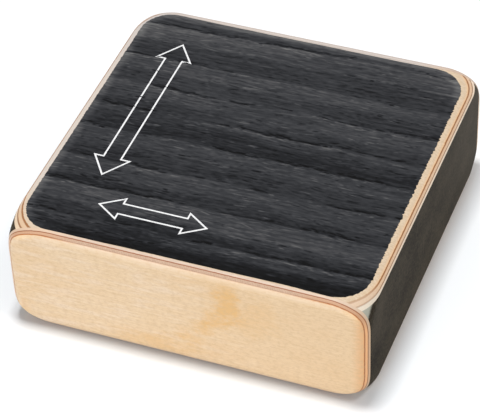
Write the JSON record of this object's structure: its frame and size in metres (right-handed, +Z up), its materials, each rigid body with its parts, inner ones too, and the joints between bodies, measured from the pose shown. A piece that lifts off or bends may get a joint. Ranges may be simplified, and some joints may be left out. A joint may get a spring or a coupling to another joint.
{
  "type": "wooden shaker",
  "caption": "Square hand-held box shaker of glued plywood with a black-stained top, birch front and back, dark sides, and loose steel shot in inner channels for long and short strokes.",
  "frame": {"origin": "middle of the underside", "axes": "+Z up to the black top, -Y towards the front panel, +X to the right seen from the front"},
  "size_m": [0.1, 0.1, 0.0335],
  "materials": {
    "stained_ply": "open-pored, stained black, satin",
    "birch_face": "sanded, clear satin lacquer",
    "birch_core": "sanded end grain, clear satin lacquer",
    "birch_inner": "sanded, clear satin lacquer",
    "side_board": "dyed brown-grey, smooth satin",
    "divider_slat": "raw, planed",
    "steel_shot": "polished ball"
  },
  "bodies": {
    "box": {"top_face_ply": "stained_ply", "top_core_ply": "birch_core", "top_inner_ply": "birch_inner", "bottom_face_ply": "stained_ply", "bottom_core_ply": "birch_core", "bottom_inner_ply": "birch_inner", "front_face_ply": "birch_face", "front_core_ply": "birch_core", "front_inner_ply": "birch_inner", "back_face_ply": "birch_face", "back_core_ply": "birch_core", "back_inner_ply": "birch_inner", "left_side": "side_board", "right_side": "side_board", "divider_1": "divider_slat", "divider_2": "divider_slat", "divider_3": "divider_slat", "divider_4": "divider_slat"},
    "lead_shot": {"lead_shot": "steel_shot"},
    "charge_1": {"shot_charge_1": "steel_shot"},
    "charge_2": {"shot_charge_2": "steel_shot"},
    "charge_3": {"shot_charge_3": "steel_shot"},
    "charge_4": {"shot_charge_4": "steel_shot"},
    "charge_5": {"shot_charge_5": "steel_shot"}
  },
  "joints": [
    {"name": "short_stroke", "type": "slide", "parent": "box", "child": "lead_shot", "axis": [1, 0, 0], "range_m": [-0.002, 0.002]},
    {"name": "long_stroke_1", "type": "slide", "parent": "lead_shot", "child": "charge_1", "axis": [0, 1, 0], "range_m": [-0.0307, 0.0307]},
    {"name": "long_stroke_2", "type": "slide", "parent": "lead_shot", "child": "charge_2", "axis": [0, 1, 0], "range_m": [-0.0307, 0.0307]},
    {"name": "long_stroke_3", "type": "slide", "parent": "lead_shot", "child": "charge_3", "axis": [0, 1, 0], "range_m": [-0.0307, 0.0307]},
    {"name": "long_stroke_4", "type": "slide", "parent": "lead_shot", "child": "charge_4", "axis": [0, 1, 0], "range_m": [-0.0307, 0.0307]},
    {"name": "long_stroke_5", "type": "slide", "parent": "lead_shot", "child": "charge_5", "axis": [0, 1, 0], "range_m": [-0.0307, 0.0307]}
  ]
}
